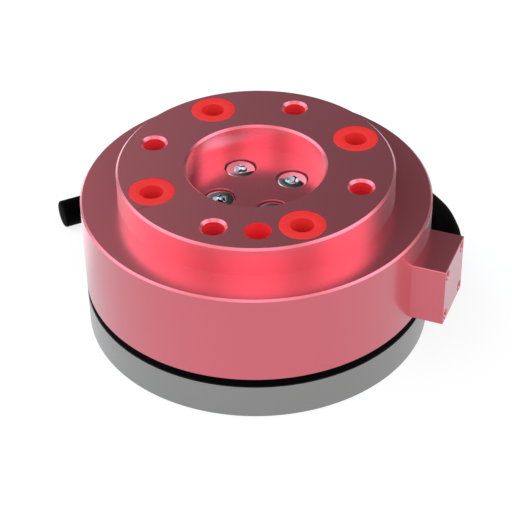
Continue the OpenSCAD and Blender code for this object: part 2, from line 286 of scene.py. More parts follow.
@dataclass(frozen=True)
class Aluminium(Finish):
    """Aluminium, turned or milled: a metal's gloss, under a clear oxide where it is anodised.

    The clear oxide adds a pale sheen of its own at glancing angles, and the cutting tool leaves
    faint rings round the axis.

    Attributes:
        oxide: Weight of the clear oxide's sheen, zero on bare metal.
        oxide_roughness: Its roughness.
        oxide_ior: Its index of refraction.
        bloom: Weight of the pale bloom that a fine matt surface has.
        bloom_roughness: How wide the bloom spreads.
        ring_mm: Distance between the tool's rings.
        ring_waver: How far the rings stray from true circles.
        ring_detail: How finely they stray.
        ring_tint: How much the rings lighten and darken the colour.
    """

    oxide: float = 1.0
    oxide_roughness: float = 0.24
    oxide_ior: float = 1.85
    bloom: float = 0.22
    bloom_roughness: float = 0.5
    ring_mm: float = 0.5
    ring_waver: float = 1.5
    ring_detail: float = 2.0
    ring_tint: float = 0.01

    def gloss(self) -> Settings:
        """Set the clear oxide's sheen and the bloom.

        Returns:
            The shader's further settings.
        """
        return {
            "Coat Weight": self.oxide,
            "Coat Roughness": self.oxide_roughness,
            "Coat IOR": self.oxide_ior,
            "Sheen Weight": self.bloom,
            "Sheen Roughness": self.bloom_roughness,
        }

    def dye(self, tree: Tree, place: Socket) -> Links:
        """Shade the colour by the tool's rings.

        Args:
            tree: The material's node tree.
            place: Object coordinates.

        Returns:
            The link that gives the shader this colour.
        """
        rings = add_node(
            tree,
            "ShaderNodeTexWave",
            {
                "wave_type": "RINGS",
                "rings_direction": "Z",
                "Scale": wave_scale(self.ring_mm),
                "Distortion": self.ring_waver,
                "Detail": self.ring_detail,
            },
            {"Vector": place},
        ).outputs["Fac"]
        return self.shades(tree, rings, -self.ring_tint, self.ring_tint)


@dataclass(frozen=True)
class SoftGloss(Finish):
    """Polymer, rubber, lacquer, or the brighter red painted inside a hole as bounce light: an even
    colour under a soft gloss.

    Attributes:
        specular: Strength of the gloss.
    """

    specular: float = 0.4

    def gloss(self) -> Settings:
        """Return the soft gloss."""
        return {"Specular IOR Level": self.specular}


@dataclass(frozen=True)
class ThreadedBore(SoftGloss):
    """The wall of a tapped hole, with painted shade along the thread's turns as fine dark lines.

    Attributes:
        pitch_mm: Pitch of the thread.
        depth: How much darker the painted shade at the turns' roots is.
    """

    pitch_mm: float = 1.0
    depth: float = 0.12

    def dye(self, tree: Tree, place: Socket) -> Links:
        """Paint shade along the turns by darkening the colour.

        Args:
            tree: The material's node tree.
            place: Object coordinates.

        Returns:
            The link that gives the shader this colour.
        """
        turns = add_node(
            tree,
            "ShaderNodeTexWave",
            {"wave_type": "BANDS", "bands_direction": "Z", "Scale": wave_scale(self.pitch_mm)},
            {"Vector": place},
        ).outputs["Fac"]
        # Painted shade: the thread's roots are darkened in the colour, with no thread in the mesh.
        return self.shades(tree, turns, -self.depth, 0.0)


FINISHES: dict[Slot, Finish] = {
    # Deep where it mirrors the dark, glowing red where it mirrors a panel, with a pale bloom.
    # The turning's grain is finer than this on the real one and is drawn as coarse as it shows.
    Slot.RED_ANODISED: Aluminium(
        "red anodised aluminium, fine turned", "E85B6C", 0.25, metallic=0.85, grain_mm=0.35
    ),
    # An even grey with a soft gloss that brightens towards the plate's sides.
    Slot.GREY_ANODISED: Aluminium(
        "grey anodised aluminium, fine turned", "989895", 0.33, metallic=1.0, oxide=0.8
    ),
    # The bright cut metal of the sensing element, with the mill's faint rings.
    Slot.MACHINED: Aluminium(
        "bare aluminium, milled", "C8CACC", 0.3, metallic=1.0, oxide=0.0, ring_tint=0.02
    ),
    # A black line with no shine between the two metals.
    Slot.RUBBER: SoftGloss(
        "black nitrile rubber, moulded",
        "020202",
        0.7,
        grain_mm=0.25,
        relief_mm=0.004,
        specular=0.03,
    ),
    # Flat, clear red, brighter than the metal round it.
    Slot.PLUG: SoftGloss("red polyamide, moulded", "EA302E", 0.5, grain_mm=0.3, specular=0.3),
    # A near mirror that picks up the red walls of the recess.
    Slot.SCREW: Finish(
        "alloy steel, plated", "E4E8EA", 0.06, metallic=1.0, grain_mm=0.5, relief_mm=0.0005
    ),
    # Warm yellow glints on the pins.
    Slot.BRASS: Finish("brass, turned", "CCAD59", 0.25, metallic=1.0),
    # Glossy dark green.
    Slot.LAMINATE: SoftGloss("green glass laminate, lacquered", "14553A", 0.3, grain_mm=0.6),
    # Dull black with a fine sparkle of filler.
    Slot.CHIP: SoftGloss("black epoxy, moulded", "17171A", 0.55, grain_mm=0.12),
    # Creamy and half matt.
    Slot.HEADER: SoftGloss("ivory nylon, moulded", "E6E1CC", 0.45),
    # Amber and glossy.
    Slot.GAUGE: SoftGloss("polyimide film with foil", "C78033", 0.25),
    # Mustard yellow, slightly waxy.
    Slot.WIRE: SoftGloss("yellow wire insulation, extruded", "BFB84D", 0.4),
    # Deep matt black with the jacket's faint orange peel.
    Slot.JACKET: SoftGloss(
        "black polyurethane jacket, extruded",
        "020202",
        0.7,
        grain_mm=0.5,
        relief_mm=0.006,
        specular=0.03,
    ),
}

# Painted light: a brighter, more saturated red than the housing's, for light bounced round inside
# the holes, on a matt shader without the bloom.
REAMED_PAINTED_GLOW = SoftGloss("red anodised aluminium, reamed, painted bounce light", "F8343A", 0.5, specular=0.2)
TAPPED_PAINTED_GLOW = ThreadedBore("red anodised aluminium, tapped, painted bounce light", "F2333A", 0.5, specular=0.2)


class FinishShop:
    """Makes each finish once and puts it on pieces."""

    def __init__(self) -> None:
        """Start with no material made."""
        self.made: dict[str, bpy.types.Material] = {}

    def material(self, finish: Finish) -> bpy.types.Material:
        """Give a finish's material, made the first time it is asked for.

        Args:
            finish: The finish.

        Returns:
            Its material.
        """
        if finish.name not in self.made:
            self.made[finish.name] = finish.build()
        return self.made[finish.name]

    def coat(self, obj: Object, slot: Slot) -> None:
        """Put the slot's finish on the whole of an object."""
        obj.data.materials.clear()
        obj.data.materials.append(self.material(FINISHES[slot]))

    def line(self, obj: Object, finish: Finish, test: Callable[[Face], bool]) -> None:
        """Give some faces of a coated object another finish.

        Args:
            obj: The object.
            finish: The other finish.
            test: Whether a face gets it.
        """
        obj.data.materials.append(self.material(finish))
        with Bench(obj) as bench:
            bench.pick_faces(test)
            obj.active_material_index = len(obj.data.materials) - 1
            bpy.ops.object.material_slot_assign()


# ---------------------------------------------------------------------------
# Modelling by hand
# ---------------------------------------------------------------------------


def only(obj: Object) -> None:
    """Select one object alone and make it the active one.

    Args:
        obj: The object.
    """
    bpy.ops.object.select_all(action="DESELECT")
    obj.select_set(True)
    bpy.context.view_layer.objects.active = obj


class Bench:
    """Edit mode on one object, with nothing selected at the start."""

    def __init__(self, obj: Object) -> None:
        """Remember the object to work on."""
        self.obj = obj

    def __enter__(self) -> Bench:
        """Enter edit mode.

        Returns:
            The bench itself.
        """
        only(self.obj)
        bpy.ops.object.mode_set(mode="EDIT")
        bpy.ops.mesh.select_mode(type="FACE")
        bpy.ops.mesh.select_all(action="DESELECT")
        return self

    def __exit__(self, *_: object) -> None:
        """Leave edit mode."""
        bpy.ops.object.mode_set(mode="OBJECT")

    def pick_faces(self, test: Callable[[Face], bool]) -> None:
        """Select only the faces that pass a test.

        Args:
            test: Whether a face is selected.
        """
        bpy.ops.mesh.select_mode(type="FACE")
        bpy.ops.mesh.select_all(action="DESELECT")
        for face in bmesh.from_edit_mesh(self.obj.data).faces:
            face.select_set(test(face))
        bmesh.update_edit_mesh(self.obj.data)

    def pick_edges(self, test: Callable[[Edge], bool]) -> None:
        """Select only the edges that pass a test.

        Args:
            test: Whether an edge is selected.
        """
        bpy.ops.mesh.select_mode(type="EDGE")
        bpy.ops.mesh.select_all(action="DESELECT")
        for edge in bmesh.from_edit_mesh(self.obj.data).edges:
            edge.select_set(test(edge))
        bmesh.update_edit_mesh(self.obj.data)

    def pick_cap(self, height: float, up: bool) -> None:
        """Select the flat face at a height that looks up or down.

        Args:
            height: The face's height.
            up: Whether it faces up.
        """
        sign = 1 if up else -1
        self.pick_faces(
            lambda face: sign * face.normal.z > UPRIGHT
            and abs(face.calc_center_median().z - height) < SAME_HEIGHT
            and len(face.verts) > 4
        )

    def step(self, inward: float, rise: float) -> None:
        """Inset the selected face and move the new inner face up or down.

        Args:
            inward: How far the rim moves in.
            rise: How far the inner face moves up, or down where it is negative.
        """
        if inward:
            bpy.ops.mesh.inset(thickness=inward, depth=0)
        if rise:
            bpy.ops.mesh.extrude_region_move(TRANSFORM_OT_translate={"value": (0, 0, rise)})

    def flare(self, scale: float, rise: float) -> None:
        """Extrude the selected face upwards and widen or narrow it in plan.

        Args:
            scale: The new width over the old.
            rise: How far it moves up, or down where it is negative.
        """
        bpy.ops.mesh.extrude_region_move(TRANSFORM_OT_translate={"value": (0, 0, rise)})
        bpy.ops.transform.resize(value=(scale, scale, 1))

    def break_rings(self, radius: float, height: float, width: float, rounds: int = 1) -> None:
        """Bevel the ring of edges at a radius and a height.

        Args:
            radius: The ring's radius.
            height: Its height.
            width: The bevel's width.
            rounds: Segments: one for a flat chamfer, more for a round.
        """

        def on_ring(edge: Edge) -> bool:
            """Test whether both ends of an edge lie on the ring.

            Args:
                edge: The edge.

            Returns:
                Whether it is part of the ring.
            """
            return all(
                abs(v.co.z - height) < SAME_HEIGHT and abs(v.co.xy.length - radius) < SAME_PLACE
                for v in edge.verts
            )

        self.pick_edges(on_ring)
        bpy.ops.mesh.bevel(offset=width, segments=rounds, affect="EDGES")


def set_place(obj: Object) -> None:
    """Move an object's place, turn and size into its mesh."""
    only(obj)
    bpy.ops.object.transform_apply(location=True, rotation=True, scale=True)


def blank_cylinder(name: str, radius: float, low: float, high: float, facets: Facets) -> Object:
    """Add an upright cylinder on the axis, to shape further.

    Args:
        name: The piece's name.
        radius: Its radius.
        low: Height of its foot.
        high: Height of its top.
        facets: How many sides stand for the circle.

    Returns:
        The new object.
    """
    bpy.ops.object.select_all(action="DESELECT")
    bpy.ops.mesh.primitive_cylinder_add(
        vertices=facets.value,
        radius=radius,
        depth=high - low,
        end_fill_type="NGON",
        location=(0, 0, (low + high) / 2),
    )
    obj = bpy.context.active_object
    obj.name = name
    set_place(obj)
    return obj


def lay_along_x(obj: Object, x: float, y: float, z: float) -> Object:
    """Turn an upright piece so that it points along +X, with its origin at a place."""
    obj.data.transform(Matrix.Translation((x, y, z)) @ Matrix.Rotation(math.pi / 2, 4, "Y"))
    return obj


def lay_along_y(obj: Object, x: float, y: float, z: float) -> Object:
    """Turn an upright piece so that it points along +Y, with its origin at a place."""
    obj.data.transform(Matrix.Translation((x, y, z)) @ Matrix.Rotation(-math.pi / 2, 4, "X"))
    return obj


def drill_bit(radius: float, mouth: float, depth: float, sink: float = 0.0) -> Object:
    """Make the solid that a drill, and a countersink where asked, takes away on the axis.

    Args:
        radius: The hole's radius.
        mouth: Height of the hole's mouth.
        depth: The hole's depth.
        sink: Depth of the countersink at the mouth, or zero for none.

    Returns:
        The cutter, upright on the axis.
    """
    facets = Facets.BORE if radius > SMALL_BORE else Facets.SMALL
    bit = blank_cylinder("drill_bit", radius, mouth - depth, mouth - sink, facets)
    with Bench(bit) as bench:
        bench.pick_cap(mouth - sink, up=True)
        if sink:
            bench.flare(1 + sink / radius, sink)
        bench.step(0, OVER)
    return bit


def stepped_bit(radius: float, wide: float, mouth: float, seat: float, foot: float) -> Object:
    """Make the solid that a counterbore takes away on the axis.

    Args:
        radius: The through hole's radius.
        wide: The counterbore's radius.
        mouth: Height of the counterbore's mouth.
        seat: Height of the counterbore's floor.
        foot: Height where the through hole ends, above the mouth for a hole from below.

    Returns:
        The cutter, upright on the axis.
    """
    end = mouth + math.copysign(OVER, mouth - seat)
    bit = blank_cylinder("stepped_bit", wide, min(seat, end), max(seat, end), Facets.BORE)
    with Bench(bit) as bench:
        bench.pick_cap(seat, up=foot > seat)
        bench.step(wide - radius, foot - seat)
    return bit


def copy_round(master: Object, angles: Iterable[float], radius: float) -> list[Object]:
    """Copy a piece round the axis, each copy with its own mesh, and remove the master.

    Args:
        master: The piece, upright on the axis.
        angles: Angle of each copy, in degrees from +X.
        radius: Distance of each copy from the axis.

    Returns:
        The copies.
    """
    copies = []
    for angle in angles:
        copy = master.copy()
        copy.data = master.data.copy()
        bpy.context.scene.collection.objects.link(copy)
        turn = Matrix.Rotation(math.radians(angle), 4, "Z")
        copy.data.transform(turn @ Matrix.Translation((radius, 0, 0)))
        copies.append(copy)
    discard(master)
    return copies


def discard(obj: Object) -> None:
    """Remove an object and its mesh.

    Args:
        obj: The object.
    """
    mesh = obj.data
    bpy.data.objects.remove(obj)
    bpy.data.meshes.remove(mesh)


def gather(parts: Sequence[Object], name: str) -> Object:
    """Join several objects into one.

    Args:
        parts: The objects, the first of which stays.
        name: The joined object's name.

    Returns:
        The joined object.
    """
    only(parts[0])
    for part in parts[1:]:
        part.select_set(True)
    if len(parts) > 1:
        bpy.ops.object.join()
    parts[0].name = name
    return parts[0]


def cut(obj: Object, cutter: Object) -> None:
    """Cut a solid out of a piece and remove the cutter.

    Args:
        obj: The piece.
        cutter: The solid to cut away.
    """
    only(obj)
    boolean = obj.modifiers.new("cut", "BOOLEAN")
    boolean.operation = "DIFFERENCE"
    boolean.solver = "EXACT"
    boolean.object = cutter
    bpy.ops.object.modifier_apply(modifier=boolean.name)
    discard(cutter)


def smooth(obj: Object, angle: float = 30.0) -> None:
    """Shade a piece smooth, but for edges sharper than an angle in degrees."""
    only(obj)
    bpy.ops.object.shade_smooth_by_angle(angle=math.radians(angle))


# ---------------------------------------------------------------------------
# The frame's own sizes
# ---------------------------------------------------------------------------


@dataclass
class Frame:
    """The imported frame: its nodes and the sizes that the pieces share.

    Attributes:
        nodes: CAD objects by name.
        mounts: Mounts of the record by name.
        shop: Where pieces get their finish.
    """

    nodes: dict[str, Object]
    mounts: dict[str, dict]
    shop: FinishShop = field(default_factory=FinishShop)

    @classmethod
    def load(cls) -> Frame:
        """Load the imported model."""
        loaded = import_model()
        return cls(loaded["nodes"], {m["name"]: m for m in loaded["record"]["mounts"]})

    def dim(self, mount: str, key: str) -> float:
        """Return a mount's size, turned from millimetres to metres."""
        return self.mounts[mount]["dims"][key] * MM

    def low(self, node: str) -> Vector:
        """Return a node's lowest corner."""
        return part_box(node)[0]

    def high(self, node: str) -> Vector:
        """Return a node's highest corner."""
        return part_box(node)[1]

    def place(self, obj: Object, slot: Slot, *stands_for: str) -> None:
        """Give a finished piece its finish and its body, and hide the CAD nodes that it stands for.

        Args:
            obj: The piece.
            slot: Its material slot.
            stands_for: CAD nodes that it replaces.
        """
        self.shop.coat(obj, slot)
        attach(obj, BODY)
        if stands_for:
            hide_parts(*stands_for)
        LOG.info("placed %s", obj.name)


# ---------------------------------------------------------------------------
# Sub-assemblies
# ---------------------------------------------------------------------------


@dataclass
class ToolHousing:
    """The red housing: skirt, shelf, boss and centre recess, with all its holes.

    Attributes:
        frame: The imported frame.
        boss_r: Radius of the boss.
        shelf_z: Height of the shelf round the boss.
        skirt_t: Wall of the skirt.
        roof_t: Thickness of the roof under the shelf.
        pad_r: Radius of the hub's pad under the roof.
        pad_drop: How far the pad hangs below the roof.
        shelf_chamfer: Chamfer on the shelf's edge.
        edge_chamfer: Chamfer on the boss and the recess.
        countersink: Depth of the tapped holes' countersinks.
        tap_depth: Depth of the tapped holes.
        access_r: Radius of the access holes.
        screw_circle_r: Distance of the hub screws from the axis.
        screw_sink: Depth of their counterbores.
        counterbore_r: Radius of their counterbores.
        clearance_r: Radius of their through holes.
        spigot_r: Radius of the hole for the cable block's spigot.
        spigot_depth: Depth of that hole.
        spigot_z: Its height.
    """

    frame: Frame
    boss_r: float = 31.5 * MM
    shelf_z: float = 33 * MM
    skirt_t: float = 2.5 * MM
    roof_t: float = 5.5 * MM
    pad_r: float = 14 * MM
    pad_drop: float = 2 * MM
    shelf_chamfer: float = 0.45 * MM
    edge_chamfer: float = 0.5 * MM
    countersink: float = 0.6 * MM
    tap_depth: float = 10 * MM
    access_r: float = 5.2 * MM
    screw_circle_r: float = 9 * MM
    screw_sink: float = 4.4 * MM
    counterbore_r: float = 3.75 * MM
    clearance_r: float = 2.25 * MM
    spigot_r: float = 3.6 * MM
    spigot_depth: float = 4 * MM
    spigot_z: float = 19.4 * MM

    @property
    def body_r(self) -> float:
        """Radius of the skirt."""
        return -self.frame.low("tool_housing").x

    @property
    def top_z(self) -> float:
        """Height of the tool face."""
        return self.frame.high("tool_housing").z

    @property
    def recess_d(self) -> float:
        """Depth of the centre recess, its chamfer included."""
        return self.edge_chamfer + self.frame.dim("tool_pilot", "length_mm")

    @property
    def circle_r(self) -> float:
        """Distance of the tapped holes, the access holes and the dowel hole from the axis."""
        return self.frame.dim("tool_bolts", "pcd_mm") / 2

    def build(self) -> None:
        """Turn the housing, drill it and finish it."""
        housing = self.turned()
        for cutter in self.cutters():
            cut(housing, cutter)
        smooth(housing)
        self.frame.place(housing, Slot.RED_ANODISED, "tool_housing")
        taps = [Matrix.Rotation(math.radians(a), 2) @ Vector((self.circle_r, 0)) for a in QUARTERS]
        dowel = Vector(self.frame.mounts["tool_dowel"]["pos_m"][:2])
        # Painted light: the holes' walls get a brighter red than the housing, for light bounced
        # round inside them.
        self.line_bores(housing, TAPPED_PAINTED_GLOW, taps, self.frame.dim("tool_bolts", "hole_r_mm"))
        self.line_bores(housing, REAMED_PAINTED_GLOW, [dowel], self.frame.dim("tool_dowel", "r_mm"))

    def line_bores(
        self, housing: Object, finish: Finish, axes: Sequence[Vector], radius: float
    ) -> None:
        """Give the inside of some holes a finish of their own: a brighter red that is painted bounce
        light.

        Args:
            housing: The housing.
            finish: The holes' finish.
            axes: Where the holes are, seen from above.
            radius: Their radius.
        """
        sink = self.top_z - self.countersink
        reach = radius + BORE_FIT

        def inside(face: Face) -> bool:
            """Return whether a face lies inside one of the holes."""
            place = face.calc_center_median()
            return place.z < sink and any((place.xy - axis).length < reach for axis in axes)

        self.frame.shop.line(housing, finish, inside)

    def turned(self) -> Object:
        """Shape the housing as it leaves the lathe.

        Returns:
            The housing without its holes.
        """
        foot_z = self.frame.low("tool_housing").z
        recess_r = self.frame.dim("tool_pilot", "r_mm")
        roof_z = self.shelf_z - self.roof_t
        inner_r = self.body_r - self.skirt_t
        housing = blank_cylinder("housing", self.body_r, foot_z, self.shelf_z, Facets.BODY)
        with Bench(housing) as bench:
            bench.pick_cap(self.shelf_z, up=True)
            bench.step(self.body_r - self.boss_r, self.top_z - self.shelf_z)
            bench.step(self.boss_r - recess_r, -self.recess_d)
            bench.pick_cap(foot_z, up=False)
            bench.step(self.skirt_t, roof_z - foot_z)
            bench.step(inner_r - self.pad_r, -self.pad_drop)
            bench.break_rings(self.body_r, self.shelf_z, self.shelf_chamfer)
            bench.break_rings(self.boss_r, self.top_z, self.edge_chamfer)
            bench.break_rings(recess_r, self.top_z, self.edge_chamfer)
        return housing

    def cutters(self) -> list[Object]:
        """Make the solids of all holes.

        Returns:
            One object for each kind of hole.
        """
        dim = self.frame.dim
        floor_z = self.top_z - self.recess_d
        seat_z = floor_z - self.screw_sink
        dowel = Vector(self.frame.mounts["tool_dowel"]["pos_m"])
        dowel_angle = math.degrees(math.atan2(dowel.y, dowel.x))
        tap = drill_bit(
            dim("tool_bolts", "hole_r_mm"), self.top_z, self.tap_depth, self.countersink
        )
        ream = drill_bit(dim("tool_dowel", "r_mm"), self.top_z, dim("tool_dowel", "length_mm"))
        access = drill_bit(self.access_r, self.top_z, self.shelf_z)
        seat = stepped_bit(
            self.clearance_r, self.counterbore_r, floor_z, seat_z, seat_z - self.screw_sink
        )
        spigot = blank_cylinder(
            "spigot_bit", self.spigot_r, -self.spigot_depth, OVER, Facets.BORE
        )
        return [
            gather(copy_round(tap, QUARTERS, self.circle_r), "tap_bits"),
            gather(copy_round(ream, [dowel_angle], self.circle_r), "dowel_bit"),
            gather(copy_round(access, DIAGONALS, self.circle_r), "access_bits"),
            gather(copy_round(seat, DIAGONALS, self.screw_circle_r), "seat_bits"),
            lay_along_x(spigot, self.body_r, 0, self.spigot_z),
        ]


@dataclass
class BasePlate:
    """The grey plate on the robot's side, with its counterbored holes.

    Attributes:
        frame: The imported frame.
        edge: Chamfer on the underside's edges.
        counterbore_r: Radius of the inner counterbores.
        counterbore_d: Their depth.
        dowel_angle: Angle of the dowel hole, in degrees from +X.
        screw_circle_r: Distance of the base screws from the axis.
        screw_count: Number of base screws.
        screw_seat_r: Radius of their counterbores.
        screw_hole_r: Radius of their through holes.
        screw_sink: Depth of their counterbores.
    """

    frame: Frame
    edge: float = 0.3 * MM
    counterbore_r: float = 5.5 * MM
    counterbore_d: float = 4.5 * MM
    dowel_angle: float = -90.0
    screw_circle_r: float = 33 * MM
    screw_count: int = 8
    screw_seat_r: float = 3.75 * MM
    screw_hole_r: float = 2.25 * MM
    screw_sink: float = 4.2 * MM

    def build(self) -> None:
        """Turn the plate, drill it and finish it."""
        plate = self.turned()
        for cutter in self.cutters():
            cut(plate, cutter)
        smooth(plate)
        self.frame.place(plate, Slot.GREY_ANODISED, "base_plate")

    def turned(self) -> Object:
        """Shape the plate as it leaves the lathe.

        Returns:
            The plate with its pilot recess, without its holes.
        """
        high = self.frame.high("base_plate")
        recess_r = self.frame.dim("base_pilot", "r_mm")
        recess_d = self.edge + self.frame.dim("base_pilot", "length_mm")
        plate = blank_cylinder("plate", high.x, 0, high.z, Facets.BODY)
        with Bench(plate) as bench:
            bench.pick_cap(0, up=False)
            bench.step(high.x - recess_r, recess_d)
            bench.break_rings(high.x, 0, self.edge)
            bench.break_rings(recess_r, 0, self.edge)
        return plate

    def cutters(self) -> list[Object]:
        """Make the solids of all holes.

        Returns:
            One object for each kind of hole.
        """
        dim = self.frame.dim
        top_z = self.frame.high("base_plate").z
        circle_r = dim("base_bolts", "pcd_mm") / 2
        flange = stepped_bit(
            dim("base_bolts", "hole_r_mm"),
            self.counterbore_r,
            top_z,
            top_z - self.counterbore_d,
            -OVER,
        )
        screw = stepped_bit(
            self.screw_hole_r, self.screw_seat_r, 0, self.screw_sink, top_z + OVER
        )
        dowel_l = dim("base_dowel", "length_mm")
        dowel = blank_cylinder(
            "dowel_bit", dim("base_dowel", "r_mm"), -OVER, dowel_l, Facets.BORE
        )
        return [
            gather(copy_round(flange, DIAGONALS, circle_r), "flange_bits"),
            gather(copy_round(screw, self.screw_angles(), self.screw_circle_r), "screw_bits"),
            gather(copy_round(dowel, [self.dowel_angle], circle_r), "dowel_bits"),
        ]

    def screw_angles(self) -> list[float]:
        """Return the base screws' angles."""
        return [(i + 0.5) * 360 / self.screw_count for i in range(self.screw_count)]


@dataclass
class GapSeal:
    """The soft black ring between the base plate and the housing, with rolled edges.

    Attributes:
        frame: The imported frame.
        wall: The ring's width.
        roll: Radius of its rolled edges.
    """

    frame: Frame
    wall: float = 2.3 * MM
    roll: float = 0.35 * MM

    def build(self) -> None:
        """Shape the ring and finish it."""
        low, high = self.frame.low("gap_seal"), self.frame.high("gap_seal")
        ring = blank_cylinder("seal", high.x, low.z, high.z, Facets.BODY)
        inner_r = high.x - self.wall
        cut(ring, blank_cylinder("bore", inner_r, low.z - OVER, high.z + OVER, Facets.BODY))
        with Bench(ring) as bench:
            bench.break_rings(high.x, low.z, self.roll, rounds=4)
            bench.break_rings(high.x, high.z, self.roll, rounds=4)
        smooth(ring)
        self.frame.place(ring, Slot.RUBBER, "gap_seal")


@dataclass
class AccessPlugs:
    """The four red plugs in the tool face, each with a drafted blind bore.

    Attributes:
        frame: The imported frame.
        bore_r: Radius of the bore at its mouth.
        bore_l: Depth of the bore.
        draft: How much narrower the bore is at its foot.
        lip: Round at the plug's rim and at the bore's mouth.
        foot_lip: Round at the plug's foot.
        crease: Angle past which an edge shows as an edge, in degrees.
    """

    frame: Frame
    bore_r: float = 2.6 * MM
    bore_l: float = 7 * MM
    draft: float = 0.15 * MM
    lip: float = 0.2 * MM
    foot_lip: float = 0.4 * MM
    crease: float = 50.0

    def build(self) -> None:
        """Mould one plug and set a copy in each access hole."""
        circle_r = self.frame.dim("tool_bolts", "pcd_mm") / 2
        low, high = self.frame.low("access_plug_1"), self.frame.high("access_plug_1")
        radius = (high.x - low.x) / 2
        plug = blank_cylinder("plug", radius, low.z, high.z, Facets.BORE)
        with Bench(plug) as bench:
            bench.pick_cap(high.z, up=True)
            bench.step(radius - self.bore_r, 0)
            bench.flare(1 - self.draft / self.bore_r, -self.bore_l)
            bench.break_rings(radius, high.z, self.lip, rounds=3)
            bench.break_rings(self.bore_r, high.z, self.lip, rounds=3)
            bench.break_rings(radius, low.z, self.foot_lip, rounds=2)
        smooth(plug, self.crease)
        for number, copy in enumerate(copy_round(plug, DIAGONALS, circle_r), 1):
            copy.name = f"plug_{number}"
            self.frame.place(copy, Slot.PLUG, f"access_plug_{number}")


@dataclass
class SocketScrew:
    """A socket head cap screw, head up, with its seat at height zero.

    Attributes:
        thread_r: Radius of the thread.
        head_r: Radius of the head.
        head_h: Height of the head.
        flats: Width across the socket's flats.
        length: Length of the shank.
        edge: Round of the head's edge and chamfer of the thread's end.
        socket_d: Depth of the socket.
        point_d: Depth of the drill point at its floor.
        point_w: Width of that point's tip, over the socket's own.
    """

    thread_r: float = 2 * MM
    head_r: float = 3.5 * MM
    head_h: float = 4 * MM
    flats: float = 3 * MM
    length: float = 12 * MM
    edge: float = 0.4 * MM
    socket_d: float = 2 * MM
    point_d: float = 0.75 * MM
    point_w: float = 0.05

    def model(self, name: str, turn: float = 0.0) -> Object:
        """Model the screw.

        Args:
            name: The screw's name.
            turn: Angle of the socket, in degrees.

        Returns:
            The screw, upright on the axis.
        """
        screw = blank_cylinder(name, self.head_r, 0, self.head_h, Facets.SCREW)
        with Bench(screw) as bench:
            bench.pick_cap(0, up=False)
            bench.step(self.head_r - self.thread_r, -self.length)
            bench.break_rings(self.head_r, self.head_h, self.edge, rounds=4)
            bench.break_rings(self.thread_r, -self.length, self.edge)
        corner_r = self.flats / 2 / math.cos(math.pi / 6)
        floor = self.head_h - self.socket_d
        socket = blank_cylinder("socket_bit", corner_r, floor, self.head_h + OVER, Facets.HEX)
        with Bench(socket) as bench:
            bench.pick_cap(floor, up=False)
            bench.flare(self.point_w, -self.point_d)
        cut(screw, socket)
        screw.data.transform(Matrix.Rotation(math.radians(turn), 4, "Z"))
        smooth(screw)
        return screw


@dataclass
class Screws:
    """The screws that show: four in the recess and eight on the underside.

    Attributes:
        frame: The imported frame.
        housing: The housing that the hub screws sit in.
        base: The plate that the base screws sit in.
        kind: What each of the screws is.
        turns: How far each hub screw's socket is turned, in degrees.
    """

    frame: Frame
    housing: ToolHousing
    base: BasePlate
    kind: SocketScrew = field(default_factory=SocketScrew)
    turns: tuple[float, ...] = (20.0, 3.0, 41.0, 12.0)

    def build(self) -> None:
        """Seat the screws and finish them."""
        seat_z = self.frame.high("hub_screw_1").z - self.kind.head_h
        for number, (angle, turn) in enumerate(zip(DIAGONALS, self.turns), 1):
            screw = self.kind.model("screw", turn)
            screw.data.transform(Matrix.Translation((0, 0, seat_z)))
            seated = copy_round(screw, [angle], self.housing.screw_circle_r)
            self.frame.place(
                gather(seated, f"recess_screw_{number}"), Slot.SCREW, f"hub_screw_{number}"
            )
        screw = self.kind.model("screw")
        upturned = Matrix.Rotation(math.pi, 4, "X")
        screw.data.transform(Matrix.Translation((0, 0, self.base.screw_sink)) @ upturned)
        seated = copy_round(screw, self.base.screw_angles(), self.base.screw_circle_r)
        self.frame.place(gather(seated, "underside_screws"), Slot.SCREW, "base_screws")


